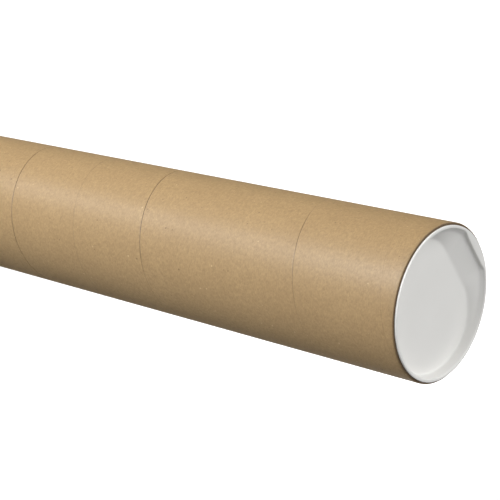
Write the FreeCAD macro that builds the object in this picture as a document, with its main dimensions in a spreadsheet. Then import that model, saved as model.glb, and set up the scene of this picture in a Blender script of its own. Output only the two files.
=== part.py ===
import FreeCAD, Part
import os
import Sketcher

# A mailing tube of spiral-wound board, closed at both ends by a push-in plastic cap.
# Millimetres. +Z runs along the tube, which stands on the flange of its bottom cap.
# The caps' pull tabs are on the +X side.

DIMENSIONS = {
    # The board tube: an inside diameter of 4 inches, a wall of 1/8 inch and a length of 24 inches.
    "tube_length": 609.6,
    "bore_diameter": 101.6,
    "wall_thickness": 3.175,
    # Cutting and burnishing take the corner off the outer edge of each end.
    "cut_edge_bevel": 0.8,
    # The cap's flange rests on the tube's end and stops short of the outer edge.
    "flange_overlap": 1.35,
    "flange_thickness": 1.5,
    "flange_edge_bevel": 0.5,
    # The cap's cup: a thin moulded wall that runs in the bore and narrows towards its floor.
    "bore_clearance": 0.08,
    "cap_wall": 1.2,
    "cup_taper": 0.45,
    "recess_depth": 7.8,
    "recess_foot_bevel": 1.4,
    "mouth_edge_bevel": 0.9,
    # The pull tab: on one side the flange runs inwards to a chord, with a short upright step
    # below its edge, and a long ramp for the fingers goes down from there to the cup's floor.
    "tab_reach": 3.9,
    "tab_step": 2.5,
    "ramp_run": 16.2,
}

# Lengths that follow from the driving ones, as expressions of the sheet's cells.
BORE_RADIUS = "(Sizes.bore_diameter / 2)"
TUBE_RADIUS = f"({BORE_RADIUS} + Sizes.wall_thickness)"
FLANGE_RADIUS = f"({BORE_RADIUS} + Sizes.flange_overlap)"
PLUG_RADIUS = f"({BORE_RADIUS} - Sizes.bore_clearance)"
PLUG_FOOT_RADIUS = f"({PLUG_RADIUS} - Sizes.cup_taper)"
MOUTH_RADIUS = f"({PLUG_RADIUS} - Sizes.cap_wall)"
FLOOR_RADIUS = f"({PLUG_FOOT_RADIUS} - Sizes.cap_wall)"
FLOOR_LEVEL = "(Sizes.flange_thickness - Sizes.recess_depth)"
PLUG_FOOT_LEVEL = f"({FLOOR_LEVEL} - Sizes.cap_wall)"
TAB_EDGE = f"({MOUTH_RADIUS} - Sizes.tab_reach)"
RAMP_FOOT = f"({TAB_EDGE} - Sizes.ramp_run)"
RAMP_TOP_LEVEL = "(Sizes.flange_thickness - Sizes.tab_step)"
# The ramp's underside is parallel to the ramp, one wall's thickness away.
RAMP_ANGLE = f"atan(({RAMP_TOP_LEVEL} - {FLOOR_LEVEL}) / Sizes.ramp_run)"
UNDER_RAMP_FOOT = f"({RAMP_FOOT} + Sizes.cap_wall * tan({RAMP_ANGLE} / 2))"
UNDER_RAMP_TOP_LEVEL = (
    f"({RAMP_TOP_LEVEL} - Sizes.cap_wall * (1 / cos({RAMP_ANGLE}) - tan({RAMP_ANGLE})))"
)
# The recess flares by its edge's bevel as it comes out through the flange.
MOUTH_BEVEL = "min(Sizes.mouth_edge_bevel; Sizes.flange_thickness * 0.8)"
FLARE_LEVEL = f"(Sizes.flange_thickness - {MOUTH_BEVEL})"
# The bevel outside the cup's foot that keeps the wall as thick there as it is elsewhere.
PLUG_FOOT_BEVEL = "(Sizes.recess_foot_bevel + Sizes.cap_wall * (2 - sqrt(2)))"


def write_sheet(document):
    """Put each driving dimension in a cell with its name as the alias."""
    sheet = document.addObject("Spreadsheet::Sheet", "Sizes")
    for row, (name, millimetres) in enumerate(DIMENSIONS.items(), start=1):
        sheet.set(f"A{row}", name)
        sheet.set(f"B{row}", str(millimetres))
        sheet.setAlias(f"B{row}", name)
    document.recompute()
    return sheet


def value(document, expression):
    """The number that an expression of the sheet's cells stands for."""
    return float(document.Sizes.evalExpression(expression))


def new_body(document, name, label):
    body = document.addObject("PartDesign::Body", name)
    body.Label = label
    return body


def upright_sketch(document, body, name, corners):
    """A closed outline in the body's XZ plane. Each corner is a pair of expressions: the
    distance from the axis and the level. A corner on the axis has the distance "0"."""
    sketch = body.newObject("Sketcher::SketchObject", name)
    planes = {plane.Role: plane for plane in body.Origin.OriginFeatures}
    sketch.AttachmentSupport = [(planes["XZ_Plane"], "")]
    sketch.MapMode = "FlatFace"
    points = [
        FreeCAD.Vector(value(document, across), value(document, level), 0)
        for across, level in corners
    ]
    count = len(points)
    for index in range(count):
        sketch.addGeometry(Part.LineSegment(points[index], points[(index + 1) % count]), False)
    for index in range(count):
        sketch.addConstraint(Sketcher.Constraint("Coincident", index, 2, (index + 1) % count, 1))
    horizontal_axis, vertical_axis = -1, -2
    for index, (across, level) in enumerate(corners):
        for kind, expression, axis in (
            ("DistanceX", across, vertical_axis),
            ("DistanceY", level, horizontal_axis),
        ):
            if expression == "0":
                sketch.addConstraint(Sketcher.Constraint("PointOnObject", index, 1, axis))
                continue
            distance = value(document, expression)
            constraint = Sketcher.Constraint(kind, -1, 1, index, 1, distance)
            number = sketch.addConstraint(constraint)
            sketch.setExpression(f"Constraints[{number}]", expression)
    return sketch


def revolve(body, name, sketch):
    turned = body.newObject("PartDesign::Revolution", name)
    turned.Profile = sketch
    turned.ReferenceAxis = (sketch, ["V_Axis"])
    turned.Angle = 360
    sketch.Visibility = False
    return turned


def bevel_rims(document, body, name, rims, size):
    """Bevel the rims about the axis that have the given (radius, level) expressions."""
    document.recompute()
    base = body.Tip
    wanted = [(value(document, radius), value(document, level)) for radius, level in rims]
    edges = []
    for number, edge in enumerate(base.Shape.Edges, start=1):
        if not isinstance(edge.Curve, Part.Circle):
            continue
        radius, level = edge.Curve.Radius, edge.Curve.Center.z
        if any(abs(radius - r) + abs(level - z) < 1e-4 for r, z in wanted):
            edges.append(f"Edge{number}")
    if len(edges) < len(wanted):
        raise RuntimeError(f"{name}: found {len(edges)} rims for {len(wanted)} places")
    bevelled = body.newObject("PartDesign::Chamfer", name)
    bevelled.Base = (base, edges)
    bevelled.setExpression("Size", size)
    return bevelled


def cut_across(document, body, name, sketch):
    """Cut the sketched outline out along Y, equally to both sides."""
    document.recompute()
    before = body.Tip.Shape.Volume
    pocket = body.newObject("PartDesign::Pocket", name)
    pocket.Profile = sketch
    pocket.SideType = "Symmetric"
    pocket.Type = "Length"
    pocket.setExpression("Length", f"{TUBE_RADIUS} * 2")
    sketch.Visibility = False
    document.recompute()
    if not pocket.Shape.Volume < before:
        raise RuntimeError(f"{name} removed nothing")
    return pocket


def make_tube(document):
    """The wound board tube: a plain wall, open at both ends, with bevelled outer edges."""
    body = new_body(document, "Tube", "tube")
    wall = upright_sketch(document, body, "TubeWall", (
        (BORE_RADIUS, "0"),
        (TUBE_RADIUS, "0"),
        (TUBE_RADIUS, "Sizes.tube_length"),
        (BORE_RADIUS, "Sizes.tube_length"),
    ))
    revolve(body, "WoundWall", wall)
    ends = ((TUBE_RADIUS, "0"), (TUBE_RADIUS, "Sizes.tube_length"))
    bevel = "min(Sizes.cut_edge_bevel; Sizes.wall_thickness / 3)"
    bevel_rims(document, body, "CutEdges", ends, bevel)
    body.setExpression("Placement.Base.z", "Sizes.flange_thickness")
    return body


def make_recess(document, name):
    """The hollow of a cap's cup, as a solid to cut away: round and tapered, flared at its
    mouth, bevelled at its foot, and flat where the tab's step and ramp stand in it."""
    body = new_body(document, f"{name}Recess", f"{name} recess")
    above = "(Sizes.flange_thickness + Sizes.cap_wall)"
    hollow = upright_sketch(document, body, f"{name}Hollow", (
        ("0", FLOOR_LEVEL),
        (FLOOR_RADIUS, FLOOR_LEVEL),
        (MOUTH_RADIUS, FLARE_LEVEL),
        (f"{MOUTH_RADIUS} + {MOUTH_BEVEL}", "Sizes.flange_thickness"),
        (f"{MOUTH_RADIUS} + {MOUTH_BEVEL}", above),
        ("0", above),
    ))
    revolve(body, f"{name}RoundHollow", hollow)
    foot = ((FLOOR_RADIUS, FLOOR_LEVEL),)
    bevel_rims(document, body, f"{name}HollowFoot", foot, "Sizes.recess_foot_bevel")
    beyond = f"({TUBE_RADIUS} + Sizes.cap_wall)"
    below = f"({PLUG_FOOT_LEVEL} - Sizes.cap_wall)"
    wall = upright_sketch(document, body, f"{name}TabWall", (
        (f"{TAB_EDGE} + {MOUTH_BEVEL}", f"{above} + Sizes.cap_wall"),
        (f"{TAB_EDGE} + {MOUTH_BEVEL}", "Sizes.flange_thickness"),
        (TAB_EDGE, FLARE_LEVEL),
        (TAB_EDGE, RAMP_TOP_LEVEL),
        (RAMP_FOOT, FLOOR_LEVEL),
        (RAMP_FOOT, below),
        (beyond, below),
        (beyond, f"{above} + Sizes.cap_wall"),
    ))
    cut_across(document, body, f"{name}TabSide", wall)
    return body


def make_cap(document, name, label):
    """One moulded cap: a flange that seats on the tube's end, and a thin-walled cup in the
    bore, with a ramp on one side under the pull tab. Its own origin is the flange's underside."""
    body = new_body(document, name, label)
    outside = upright_sketch(document, body, f"{name}Outside", (
        ("0", PLUG_FOOT_LEVEL),
        (PLUG_FOOT_RADIUS, PLUG_FOOT_LEVEL),
        (PLUG_RADIUS, "0"),
        (FLANGE_RADIUS, "0"),
        (FLANGE_RADIUS, "Sizes.flange_thickness"),
        ("0", "Sizes.flange_thickness"),
    ))
    revolve(body, f"{name}Form", outside)
    foot = ((PLUG_FOOT_RADIUS, PLUG_FOOT_LEVEL),)
    bevel_rims(document, body, f"{name}Foot", foot, PLUG_FOOT_BEVEL)
    rim = ((FLANGE_RADIUS, "Sizes.flange_thickness"),)
    bevel = "min(Sizes.flange_edge_bevel; Sizes.flange_thickness / 2)"
    bevel_rims(document, body, f"{name}Rim", rim, bevel)
    # Behind the tab the cup's wall is as thin as it is elsewhere, so the bore is open there.
    beyond = f"({TUBE_RADIUS} + Sizes.cap_wall)"
    below = f"({PLUG_FOOT_LEVEL} - Sizes.cap_wall)"
    behind = upright_sketch(document, body, f"{name}BehindTab", (
        (f"{TAB_EDGE} + Sizes.cap_wall", "0"),
        (f"{TAB_EDGE} + Sizes.cap_wall", UNDER_RAMP_TOP_LEVEL),
        (UNDER_RAMP_FOOT, PLUG_FOOT_LEVEL),
        (UNDER_RAMP_FOOT, below),
        (beyond, below),
        (beyond, "0"),
    ))
    cut_across(document, body, f"{name}TabBack", behind)
    recess = make_recess(document, name)
    hollowed = body.newObject("PartDesign::Boolean", f"{name}Hollowed")
    hollowed.setObjects([recess])
    hollowed.Type = "Cut"
    return body


def check(document, bodies):
    """Stop unless every object was worked out and every sub-part is one valid solid."""
    for item in document.Objects:
        if {"Invalid", "Error"} & set(item.State):
            raise RuntimeError(f"{item.Name}: {item.State}")
    for body in bodies:
        shape = body.Shape
        if shape.isNull() or not shape.isValid() or len(shape.Solids) != 1:
            raise RuntimeError(f"{body.Label} isn't one valid solid")


def main():
    document = FreeCAD.newDocument("mailing_tube")
    write_sheet(document)
    tube = make_tube(document)
    top_cap = make_cap(document, "TopCap", "top_cap")
    top_cap.setExpression("Placement.Base.z", "Sizes.tube_length + Sizes.flange_thickness")
    # The same cap upside down, turned about X so that both tabs are on the same side.
    bottom_cap = make_cap(document, "BottomCap", "bottom_cap")
    bottom_cap.Placement.Rotation = FreeCAD.Rotation(FreeCAD.Vector(1, 0, 0), 180)
    bottom_cap.setExpression("Placement.Base.z", "Sizes.flange_thickness")
    document.recompute()
    bodies = (tube, top_cap, bottom_cap)
    check(document, bodies)
    os.makedirs("parts", exist_ok=True)
    for body in bodies:
        body.Shape.exportStep(os.path.join("parts", f"{body.Label}.step"))
        print(f"{body.Label}: {body.Shape.Volume / 1000:.1f} cm3")


main()
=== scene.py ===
import math

import bpy
import numpy as np
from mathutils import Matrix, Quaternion, Vector


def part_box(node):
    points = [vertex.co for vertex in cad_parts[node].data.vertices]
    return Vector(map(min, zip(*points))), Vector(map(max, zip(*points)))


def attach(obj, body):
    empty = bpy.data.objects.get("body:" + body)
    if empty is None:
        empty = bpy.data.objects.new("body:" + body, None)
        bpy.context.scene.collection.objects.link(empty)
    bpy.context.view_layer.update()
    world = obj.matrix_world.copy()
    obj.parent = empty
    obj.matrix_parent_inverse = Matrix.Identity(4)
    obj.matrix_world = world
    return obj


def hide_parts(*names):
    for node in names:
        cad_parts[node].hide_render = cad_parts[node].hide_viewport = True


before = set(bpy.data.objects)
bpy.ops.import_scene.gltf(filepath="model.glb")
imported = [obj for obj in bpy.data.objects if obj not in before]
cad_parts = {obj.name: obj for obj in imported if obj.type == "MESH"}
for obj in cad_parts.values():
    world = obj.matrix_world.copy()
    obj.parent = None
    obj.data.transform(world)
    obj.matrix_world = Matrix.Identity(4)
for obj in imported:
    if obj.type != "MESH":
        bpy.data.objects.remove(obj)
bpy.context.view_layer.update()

# The tube. Strips of kraft board are wound round a bar in a spiral, glued ply over ply, and the
# tube is sawn to length. The outer strip's edges meet in a butt seam that climbs the tube, open
# by a hair in some turns and closed in others. The sawn ends are burnished round and dark.

tube_low, tube_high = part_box("tube")
tube_radius = min(tube_high.x, tube_high.y)
wall_thickness = 0.003175
bore_radius = tube_high.x - wall_thickness
end_rounding = 0.0008
ply_thickness = 0.0004

# Where the seam runs: its climb in one turn, and a place that it passes.
strip_lead = 0.0717
seam_azimuth = math.radians(121.5)
seam_level = tube_high.z - 0.0841

# How far the seam stands open, 0 to 1, by the number of leads below the tube's top end.
seam_openness = np.array([
    (0.00, 0.15), (0.60, 0.10), (1.04, 0.08), (1.10, 0.30), (1.18, 0.60), (1.27, 0.70),
    (1.33, 0.15), (1.50, 0.05), (2.50, 0.05), (3.00, 0.08), (3.08, 0.35), (3.14, 1.00),
    (3.45, 1.00), (3.60, 0.40), (3.95, 0.05), (4.08, 0.30), (4.35, 0.30), (4.60, 0.20),
    (4.80, 0.80), (4.90, 1.00), (5.45, 1.00), (5.70, 0.40), (6.00, 0.10), (6.40, 0.15),
    (6.90, 0.90), (7.30, 1.00), (7.60, 0.30), (8.50, 0.20),
])
seam_half_width = 0.00022
seam_depth = 0.00024

# The rows of the outer face, as climbs above the seam: close together beside it.
row_offsets = np.array([
    -0.00090, -0.00034, -0.00022, -0.00011, 0.00000, 0.00011, 0.00022, 0.00034, 0.00090,
    0.004, 0.010, 0.018, 0.027, 0.036, 0.045, 0.054, 0.062, 0.068,
])
wall_columns = 256


def seam_gap(azimuth, level):
    """How much of a point of the outer face the seam's gap takes, 0 to 1: one in the middle of
    the gap and nothing at its edges, times how far the seam stands open there."""
    turns = (level - seam_level) / strip_lead - (azimuth - seam_azimuth) / (2 * math.pi)
    off_seam = np.abs(turns - np.round(turns)) * strip_lead
    leads_below = (tube_high.z - level) / strip_lead
    openness = np.interp(leads_below, seam_openness[:, 0], seam_openness[:, 1])
    return np.clip(1.5 - off_seam / seam_half_width, 0, 1) * openness


def wound_face():
    """The outer face: the point of a column and a row lies at the column's azimuth, on the helix
    that runs along the seam at the row's offset, held between the two rounded ends. Rows held
    at an end are one point of each column. Gives azimuths, levels and triangles, and each
    column's lowest and highest point."""
    low, high = tube_low.z + end_rounding, tube_high.z - end_rounding
    per_turn = len(row_offsets)
    azimuth = np.arange(wall_columns) * 2 * math.pi / wall_columns
    start = seam_level - strip_lead * seam_azimuth / (2 * math.pi)
    first_turn = math.floor((low - start) / strip_lead) - 2
    last_turn = math.ceil((high - start) / strip_lead) + 1
    turns = np.arange(first_turn, last_turn + 1) * strip_lead
    offsets = (turns[:, None] + row_offsets[None, :]).ravel()
    level = start + strip_lead * azimuth[:, None] / (2 * math.pi) + offsets[None, :]
    lowest = (level <= low).sum(1) - 1
    highest = level.shape[1] - (level >= high).sum(1)
    rows = np.arange(level.shape[1])
    point = rows[None, :].clip(lowest[:, None], highest[:, None])
    point = point + np.arange(wall_columns)[:, None] * level.shape[1]
    next_rows = np.broadcast_to(rows, point.shape).copy()
    next_rows[-1] += per_turn
    next_column = (np.arange(wall_columns) + 1) % wall_columns
    beside = next_rows.clip(lowest[next_column][:, None], highest[next_column][:, None])
    beside = beside + next_column[:, None] * level.shape[1]
    corners = point[:, :-1], beside[:, :-1], beside[:, 1:], point[:, 1:]
    a, b, c, d = (corner.ravel() for corner in corners)
    triangles = np.concatenate([np.stack([a, b, c], 1), np.stack([a, c, d], 1)])
    distinct = (
        (triangles[:, 0] != triangles[:, 1])
        & (triangles[:, 1] != triangles[:, 2])
        & (triangles[:, 2] != triangles[:, 0])
    )
    used, renumbered = np.unique(triangles[distinct], return_inverse=True)
    columns, kept_rows = np.divmod(used, level.shape[1])
    bottom = np.searchsorted(used, point[:, 0])
    top = np.searchsorted(used, point[:, -1])
    heights = level[columns, kept_rows].clip(low, high)
    return azimuth[columns], heights, renumbered.reshape(-1, 3), bottom, top


def wall_profile():
    """From the foot of the outer face round the bottom end, up the bore and round the top end,
    as (radius, level, how far it is a sawn edge). The outer corners are quarter circles, and a
    fine groove shows between two plies of each sawn end."""
    turn = np.radians([15, 35, 55, 75, 90])
    corner_radius = tube_radius - end_rounding * (1 - np.cos(turn))
    corner_rise = end_rounding * (1 - np.sin(turn))
    sawn = np.array([0.15, 0.4, 0.7, 0.9, 1.0])
    outermost = tube_radius - end_rounding - ply_thickness
    joints = np.arange(outermost, bore_radius + ply_thickness, -ply_thickness)
    ply_radius = (joints[:, None] + np.array([0.00006, 0, -0.00006])[None, :]).ravel()
    ply_rise = np.tile([0, 0.00005, 0], len(joints))
    ply_sawn = np.tile([1.0, 1.3, 1.0], len(joints))
    inner_radius = bore_radius + np.array([0.00015, 0.00004, 0.0, 0.0])
    inner_rise = np.array([0.0, 0.00004, 0.00015, 0.002])
    inner_sawn = np.array([1.0, 0.8, 0.5, 0.0])
    radius = np.concatenate([corner_radius, ply_radius, inner_radius])
    rise = np.concatenate([corner_rise, ply_rise, inner_rise])
    sawn = np.concatenate([sawn, ply_sawn, inner_sawn])
    bore_levels = np.linspace(tube_low.z + 0.03, tube_high.z - 0.03, 9)
    bore = np.full(len(bore_levels), bore_radius)
    return np.stack([
        np.concatenate([radius, bore, radius[::-1]]),
        np.concatenate([tube_low.z + rise, bore_levels, tube_high.z - rise[::-1]]),
        np.concatenate([sawn, 0 * bore, sawn[::-1]]),
    ], 1)


def mesh_of(name, points, faces):
    """A smooth-shaded mesh from arrays: points (n, 3) and faces, a list of (m, corners)."""
    mesh = bpy.data.meshes.new(name)
    mesh.from_pydata(points, [], [face for block in faces for face in block.tolist()])
    mesh.shade_smooth()
    return mesh


def give_attribute(mesh, name, values):
    """A number at each point of the mesh, for its material to read."""
    attribute = mesh.attributes.new(name, "FLOAT", "POINT")
    attribute.data.foreach_set("value", np.asarray(values, np.float32))


azimuths, levels, wall_triangles, foot_ring, head_ring = wound_face()
gap = seam_gap(azimuths, levels)
radii = tube_radius - seam_depth * gap
wall_points = np.stack([radii * np.cos(azimuths), radii * np.sin(azimuths), levels], 1)

profile = wall_profile()
column_azimuths = np.arange(wall_columns) * 2 * math.pi / wall_columns
ring_radii = np.broadcast_to(profile[:, :1], (len(profile), wall_columns))
ring_points = np.stack([
    ring_radii * np.cos(column_azimuths),
    ring_radii * np.sin(column_azimuths),
    np.broadcast_to(profile[:, 1:2], ring_radii.shape),
], 2).reshape(-1, 3)
rings = len(wall_points) + np.arange(len(ring_points)).reshape(len(profile), wall_columns)
rings = np.concatenate([foot_ring[None, :], rings, head_ring[None, :]])
ring_quads = np.stack([
    rings[:-1],
    rings[1:],
    np.roll(rings, -1, axis=1)[1:],
    np.roll(rings, -1, axis=1)[:-1],
], 2).reshape(-1, 4)

tube_mesh = mesh_of(
    "wound_board_tube",
    np.concatenate([wall_points, ring_points]),
    [wall_triangles, ring_quads],
)
ring_zeros = np.zeros(len(ring_points))
wall_ends = np.minimum(levels - tube_low.z, tube_high.z - levels)
wall_sawn = 0.15 * np.exp(-(wall_ends - end_rounding) / 0.0006)
give_attribute(tube_mesh, "seam_gap", np.concatenate([gap, ring_zeros]))
give_attribute(
    tube_mesh, "sawn", np.concatenate([wall_sawn, np.repeat(profile[:, 2], wall_columns)])
)


def node(tree, kind, sockets=None, **settings):
    """One shader node with its settings, and its sockets by name or number: a value, or the
    output of another node."""
    made = tree.nodes.new(kind)
    for name, setting in settings.items():
        setattr(made, name, setting)
    for name, given in (sockets or {}).items():
        if isinstance(given, bpy.types.NodeSocket):
            tree.links.new(given, made.inputs[name])
        else:
            made.inputs[name].default_value = given
    return made


def sums(tree, operation, *values):
    """The output of a Math node, held between 0 and 1."""
    made = node(tree, "ShaderNodeMath", dict(enumerate(values)), operation=operation)
    made.use_clamp = True
    return made.outputs[0]


def mixed(tree, factor, first, second):
    """The output of a colour Mix node."""
    sockets = {0: factor, 6: first, 7: second}
    return node(tree, "ShaderNodeMix", sockets, data_type="RGBA").outputs[2]


def new_material(name):
    """An empty material: its node tree and its Principled shader."""
    material = bpy.data.materials.new(name)
    material.use_nodes = True
    return material, material.node_tree, material.node_tree.nodes["Principled BSDF"]


kraft, tree, shader = new_material("kraft_board")
place = node(tree, "ShaderNodeTexCoord").outputs["Object"]

# The fibres lie along the strip, so the grain is drawn out round the tube.
along_strip = node(tree, "ShaderNodeMapping", {"Vector": place, "Scale": (1, 1, 1.9)})
fibre = node(tree, "ShaderNodeTexNoise", {
    "Vector": along_strip.outputs["Vector"], "Scale": 620.0, "Detail": 4.0, "Roughness": 0.62,
}).outputs["Fac"]
mottle = node(tree, "ShaderNodeTexNoise", {
    "Vector": place, "Scale": 430.0, "Detail": 4.0, "Roughness": 0.6,
}).outputs["Fac"]
cloud = node(tree, "ShaderNodeTexNoise", {
    "Vector": place, "Scale": 22.0, "Detail": 2.0, "Roughness": 0.5,
}).outputs["Fac"]
grain = node(tree, "ShaderNodeMath", {0: fibre, 1: 0.55}, operation="MULTIPLY").outputs[0]
grain = node(tree, "ShaderNodeMath", {0: mottle, 1: 0.45, 2: grain}, operation="MULTIPLY_ADD")
shade = node(tree, "ShaderNodeMapRange", {
    "Value": grain.outputs[0], "From Min": 0.36, "From Max": 0.64,
})
colour = mixed(tree, shade.outputs[0], (0.300, 0.195, 0.089, 1), (0.444, 0.301, 0.144, 1))
cloud_shade = node(tree, "ShaderNodeMapRange", {
    "Value": cloud, "From Min": 0.3, "From Max": 0.7, "To Min": 0.0, "To Max": 0.22,
})
colour = mixed(tree, cloud_shade.outputs[0], colour, (0.315, 0.201, 0.092, 1))

# Bark and shives: a few dark and light flecks of differing size, caught in the pulp.
flecks = node(tree, "ShaderNodeTexVoronoi", {"Vector": place, "Scale": 190.0})
fleck_kind = node(tree, "ShaderNodeSeparateColor", {"Color": flecks.outputs["Color"]})
fleck_size = sums(tree, "POWER", fleck_kind.outputs["Red"], 3.0)
fleck_size = sums(tree, "MULTIPLY", fleck_size, 0.17)
fleck_inside = node(tree, "ShaderNodeMath", {
    0: fleck_size, 1: flecks.outputs["Distance"],
}, operation="SUBTRACT").outputs[0]
fleck = sums(tree, "MULTIPLY", fleck_inside, 28.0)
fleck_is_light = sums(tree, "GREATER_THAN", fleck_kind.outputs["Green"], 0.42)
fleck_colour = mixed(tree, fleck_is_light, (0.13, 0.072, 0.030, 1), (0.62, 0.46, 0.26, 1))
colour = mixed(tree, sums(tree, "MULTIPLY", fleck, 0.6), colour, fleck_colour)

# Painted shade darkens the open seam's gap, and the saw leaves the cut plies dark.
painted_seam_shade = node(tree, "ShaderNodeAttribute", attribute_name="seam_gap").outputs["Fac"]
colour = mixed(tree, sums(tree, "MULTIPLY", painted_seam_shade, 0.95), colour, (0.036, 0.020, 0.009, 1))
sawn = node(tree, "ShaderNodeAttribute", attribute_name="sawn").outputs["Fac"]
colour = mixed(tree, sums(tree, "MULTIPLY", sawn, 0.80), colour, (0.064, 0.036, 0.014, 1))

roughness = node(tree, "ShaderNodeMapRange", {
    "Value": grain.outputs[0], "From Min": 0.3, "From Max": 0.7, "To Min": 0.48, "To Max": 0.40,
})
roughness = sums(tree, "MULTIPLY_ADD", sawn, 0.45, roughness.outputs[0])
relief = node(tree, "ShaderNodeMath", {0: fleck, 1: 0.5, 2: grain.outputs[0]},
              operation="MULTIPLY_ADD")
bump = node(tree, "ShaderNodeBump", {
    "Strength": 0.5, "Distance": 0.00012, "Height": relief.outputs[0],
})
tree.links.new(colour, shader.inputs["Base Color"])
tree.links.new(roughness, shader.inputs["Roughness"])
tree.links.new(bump.outputs["Normal"], shader.inputs["Normal"])
shader.inputs["Specular IOR Level"].default_value = 0.7

tube_mesh.materials.append(kraft)
wound_tube = bpy.data.objects.new("wound_board_tube", tube_mesh)
bpy.context.scene.collection.objects.link(wound_tube)
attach(wound_tube, "tube")
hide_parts("tube")

# The caps. Each is one thin shell of white polyethylene, moulded as a shallow cup with a flange
# that seats on the tube's end. On one side the flange runs inwards as a tab to pull on, and a
# ramp for the fingers goes down from it. A cap is pushed home by hand and holds by friction.

flange_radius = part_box("top_cap")[1].x
flange_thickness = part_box("top_cap")[1].z - tube_high.z
shell = 0.0012
plug_radius, plug_foot_radius = 0.05072, 0.05027
floor_level = flange_thickness - 0.0078
ramp_top_level = flange_thickness - 0.0025
tab_edge, ramp_foot = 0.04562, 0.02942
ramp_corner, tab_corner = 0.030, 0.006
tab_dip = 0.09
cap_columns = 360


def flattened(azimuth, radius, chord, corner):
    """At each azimuth, the distance from the axis of a circle that is cut by a chord on the tab's
    side, where an arc of the corner's radius leads from each end of the chord into the circle."""
    off_tab = np.abs((azimuth + math.pi) % (2 * math.pi) - math.pi)
    centre_x = chord - corner
    centre_y = math.sqrt((radius - corner) ** 2 - centre_x ** 2)
    along = centre_x * np.cos(off_tab) + centre_y * np.sin(off_tab)
    to_arc = along + np.sqrt((along**2 - (radius - corner) ** 2 + corner**2).clip(0))
    to_chord = chord / np.cos(off_tab).clip(0.01)
    past_arc = np.where(off_tab > math.atan2(centre_y, centre_x), radius, to_arc)
    return np.where(off_tab < math.atan2(centre_y, chord), to_chord, past_arc)


def cap_outline():
    """The cap's outline at each azimuth: (radius, level, rounding) of its corners, from the middle
    of the recess over the flange to the middle of the underside, level 0 being the seat."""
    azimuth = np.arange(cap_columns) * 2 * math.pi / cap_columns
    every = np.ones(cap_columns)
    mouth_radius = plug_radius - shell
    foot = flattened(azimuth, plug_foot_radius - shell, ramp_foot, ramp_corner)
    ramp_top = flattened(azimuth, mouth_radius - 0.0001, tab_edge, tab_corner)
    mouth = flattened(azimuth, mouth_radius, tab_edge, tab_corner)
    under_foot = flattened(azimuth, plug_foot_radius, ramp_foot + shell / 6, ramp_corner)
    under_ramp_top = flattened(azimuth, plug_radius, tab_edge + shell, tab_corner)
    at_tab = ((mouth_radius - mouth) / 0.0015).clip(0, 1)
    corners = (
        (0 * every, floor_level * every, 0 * every),
        (foot, floor_level * every, 0.0015 * every),
        (ramp_top, ramp_top_level * every, 0.0030 - 0.0022 * at_tab),
        (mouth, flange_thickness - tab_dip * (mouth_radius - mouth), 0.0019 - 0.0009 * at_tab),
        (flange_radius * every, flange_thickness * every, 0.00045 * every),
        (flange_radius * every, 0 * every, 0.0003 * every),
        (under_ramp_top, 0 * every, 0.0003 * every),
        (under_ramp_top, (ramp_top_level - shell * 0.7) * every, 0.0028 - 0.0018 * at_tab),
        (under_foot, (floor_level - shell) * every, 0.0028 * every),
        (0 * every, (floor_level - shell) * every, 0 * every),
    )
    return azimuth, np.stack([np.stack(corner, 1) for corner in corners], 1)


def rounded(outline, fractions):
    """Points along each azimuth's outline with its corners rounded: a point is the mean of the
    stretch of outline about it, half as long each way as the rounding there. The fractions say
    where the points lie, as (from corner, to corner, shares of the way between them)."""
    steps = np.diff(outline, axis=1)
    lengths = np.hypot(steps[..., 0], steps[..., 1])
    starts = np.concatenate([np.zeros((len(outline), 1)), np.cumsum(lengths, 1)], 1)
    directions = steps / np.maximum(lengths, 1e-9)[..., None]

    def at(distance):
        gone = (distance[..., None] - starts[:, None, :-1]).clip(0, lengths[:, None, :])
        return outline[:, None, 0] + np.einsum("csk,ckx->csx", gone, directions)

    places = np.concatenate([
        starts[:, a, None] + shares * (starts[:, b] - starts[:, a])[:, None]
        for a, b, shares in fractions
    ], 1)
    reach = at(places)[..., 2]
    spread = (np.arange(13) - 6) / 6.5
    return sum(at(places + reach * share)[..., :2] for share in spread) / len(spread)


def eased(count, ease):
    """Shares from 0 to 1, the last left out, drawn towards both ends as ease nears 1."""
    even = np.arange(count) / count
    return (1 - ease) * even + ease * (1 - np.cos(math.pi * even)) / 2


cap_azimuths, outline = cap_outline()
to_foot = np.array([0, 0.2, 0.4, 0.6, 0.76, 0.88, 0.93, 0.96, 0.975, 0.988])
cap_grid = rounded(outline, (
    (0, 1, to_foot), (1, 2, eased(20, 0.6)), (2, 3, eased(13, 0.6)), (3, 4, eased(12, 0.8)),
    (4, 5, eased(8, 0.8)), (5, 6, eased(7, 0.9)), (6, 8, eased(24, 0.45)),
    (8, 9, 1 - to_foot[::-1]),
))
cap_points = np.stack([
    cap_grid[..., 0] * np.cos(cap_azimuths)[:, None],
    cap_grid[..., 0] * np.sin(cap_azimuths)[:, None],
    cap_grid[..., 1],
], 2)
rows = cap_points.shape[1]
numbers = np.arange(cap_columns * (rows - 2)).reshape(cap_columns, rows - 2) + 1
beside = np.roll(numbers, -1, axis=0)
middle_of_underside = cap_columns * (rows - 2) + 1
cap_quads = np.stack([
    numbers[:, :-1], numbers[:, 1:], beside[:, 1:], beside[:, :-1],
], 2).reshape(-1, 4)
recess_middle = np.stack([0 * numbers[:, 0], numbers[:, 0], beside[:, 0]], 1)
underside_middle = np.stack([
    numbers[:, -1], 0 * numbers[:, 0] + middle_of_underside, beside[:, -1],
], 1)
cap_shape = np.concatenate([
    cap_points[:1, 0], cap_points[:, 1:-1].reshape(-1, 3), cap_points[:1, -1],
])

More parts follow.
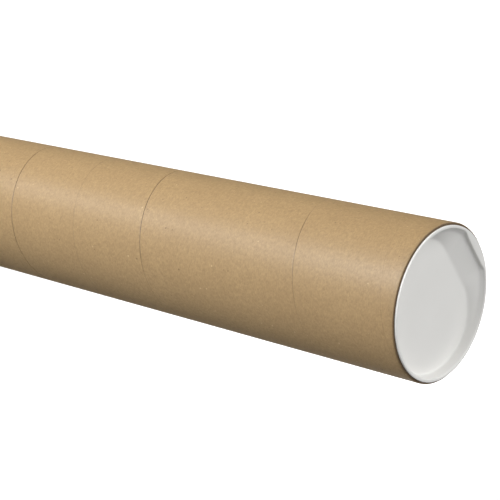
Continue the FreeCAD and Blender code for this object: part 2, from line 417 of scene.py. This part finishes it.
plastic, tree, shader = new_material("white_plastic")
place = node(tree, "ShaderNodeTexCoord").outputs["Object"]
tone = node(tree, "ShaderNodeTexNoise", {"Vector": place, "Scale": 30.0, "Detail": 3.0})
colour = mixed(tree, tone.outputs["Fac"], (0.815, 0.808, 0.780, 1), (0.865, 0.857, 0.832, 1))
skin = node(tree, "ShaderNodeTexNoise", {"Vector": place, "Scale": 1500.0, "Detail": 3.0})
scuffs = node(tree, "ShaderNodeTexNoise", {
    "Vector": place, "Scale": 160.0, "Detail": 6.0, "Roughness": 0.7, "Distortion": 1.2,
})
scuffed = node(tree, "ShaderNodeMapRange", {
    "Value": scuffs.outputs["Fac"], "From Min": 0.52, "From Max": 0.7,
    "To Min": 0.36, "To Max": 0.5,
})
bump = node(tree, "ShaderNodeBump", {
    "Strength": 0.25, "Distance": 0.00003, "Height": skin.outputs["Fac"],
})
tree.links.new(colour, shader.inputs["Base Color"])
tree.links.new(scuffed.outputs[0], shader.inputs["Roughness"])
tree.links.new(bump.outputs["Normal"], shader.inputs["Normal"])

for node_name, piece_name, seat, way_up in (
    ("top_cap", "pull_cap_top", tube_high.z, 1),
    ("bottom_cap", "pull_cap_bottom", tube_low.z, -1),
):
    points = cap_shape * np.array([1, way_up, way_up]) + np.array([0, 0, seat])
    cap_mesh = mesh_of(piece_name, points, [recess_middle, cap_quads, underside_middle])
    cap_mesh.materials.append(plastic)
    cap = bpy.data.objects.new(piece_name, cap_mesh)
    bpy.context.scene.collection.objects.link(cap)
    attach(cap, node_name)
    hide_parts(node_name)

# The floor and the light. The tube stands on a white studio floor under two broad soft lights,
# one high beside the camera and one high behind. Low panels on both sides light its length but
# not the cap's recess, and a strip on the floor draws the long soft highlight.

floor_mesh = bpy.data.meshes.new("studio_floor")
floor_mesh.from_pydata([(-9, -9, 0), (9, -9, 0), (9, 9, 0), (-9, 9, 0)], [], [(0, 1, 2, 3)])
floor_paint, tree, shader = new_material("floor_paint")
rays = node(tree, "ShaderNodeLightPath")
seen = rays.outputs["Is Camera Ray"]
colour = mixed(tree, rays.outputs["Is Glossy Ray"], (0.90, 0.90, 0.90, 1), (0.03, 0.03, 0.03, 1))
colour = mixed(tree, seen, colour, (0.97, 0.97, 0.97, 1))
tree.links.new(colour, shader.inputs["Base Color"])
tree.links.new(sums(tree, "MULTIPLY", seen, 0.28), shader.inputs["Emission Strength"])
shader.inputs["Emission Color"].default_value = (1, 1, 1, 1)
shader.inputs["Roughness"].default_value = 0.9
shader.inputs["Specular IOR Level"].default_value = 0.1
floor_mesh.materials.append(floor_paint)
floor = bpy.data.objects.new("studio_floor", floor_mesh)
bpy.context.scene.collection.objects.link(floor)

studio = bpy.data.worlds.new("studio")
studio.use_nodes = True
tree = studio.node_tree
seen = node(tree, "ShaderNodeLightPath").outputs["Is Camera Ray"]
ambient = 0.21
air = node(tree, "ShaderNodeMapRange", {"Value": seen, "To Min": ambient, "To Max": 1.0})
tree.links.new(air.outputs[0], tree.nodes["Background"].inputs["Strength"])
tree.nodes["Background"].inputs["Color"].default_value = (0.98, 0.98, 0.98, 1)
bpy.context.scene.world = studio
bpy.context.scene.view_settings.view_transform = "Standard"

camera_azimuth = math.radians(121.5)


def light_from(name, kind, azimuth, distance, level, aim_level):
    """A light at an azimuth from the camera's, turned to face the tube's axis."""
    data = bpy.data.lights.new(name, kind)
    light = bpy.data.objects.new(name, data)
    around = camera_azimuth + math.radians(azimuth)
    place = Vector((distance * math.cos(around), distance * math.sin(around), level))
    light.location = place
    light.rotation_mode = "QUATERNION"
    light.rotation_quaternion = (Vector((0, 0, aim_level)) - place).to_track_quat("-Z", "Y")
    light.visible_camera = False
    bpy.context.scene.collection.objects.link(light)
    return light


for name, azimuth, distance, strength in (
    ("high_light", -50, 1.56, 0.355),
    ("back_light", -125, 2.0, 0.42),
):
    high = light_from(name, "SUN", azimuth, distance, 2.0, 0.0)
    high.data.angle = math.radians(60)
    high.data.energy = strength * math.pi

panel_height = 0.60
for name, azimuth, width, strength in (
    ("low_panel", -19, 0.30, 10.0),
    ("far_panel", 160, 0.80, 8.0),
):
    panel = light_from(name, "AREA", azimuth, 1.2, panel_height / 2, panel_height / 2)
    panel.data.shape = "RECTANGLE"
    panel.data.size = width
    panel.data.size_y = panel_height
    panel.data.energy = strength

# The strip lies on the floor and shines upwards, with its length pointing at the tube.
strip_azimuth = -28
strip = light_from("floor_strip", "AREA", strip_azimuth, 0.52, 0.004, 0.004)
along_floor = Quaternion((0, 0, 1), camera_azimuth + math.radians(strip_azimuth))
strip.rotation_quaternion = along_floor @ Quaternion((1, 0, 0), math.pi)
strip.data.shape = "RECTANGLE"
strip.data.size = 0.60
strip.data.size_y = 0.12
strip.data.energy = 0.72

# The camera. It looks down along the tube from above its capped end, rolled so that the tube lies
# across the picture with that end at the right.

camera_out = 0.806
camera_above_end = 0.500
aim_below_end = 0.168
aim_aside = -0.0063
camera_roll = math.radians(102.9)

away = Vector((math.cos(camera_azimuth), math.sin(camera_azimuth), 0))
aside = Vector((-away.y, away.x, 0))
camera_data = bpy.data.cameras.new("camera")
camera_data.lens = 103.9
camera_data.clip_end = 50
camera = bpy.data.objects.new("camera", camera_data)
camera.location = away * camera_out + Vector((0, 0, tube_high.z + camera_above_end))
aim = aside * aim_aside + Vector((0, 0, tube_high.z - aim_below_end))
facing = (aim - camera.location).to_track_quat("-Z", "Y")
camera.rotation_mode = "QUATERNION"
camera.rotation_quaternion = facing @ Quaternion((0, 0, 1), camera_roll)
bpy.context.scene.collection.objects.link(camera)
bpy.context.scene.camera = camera
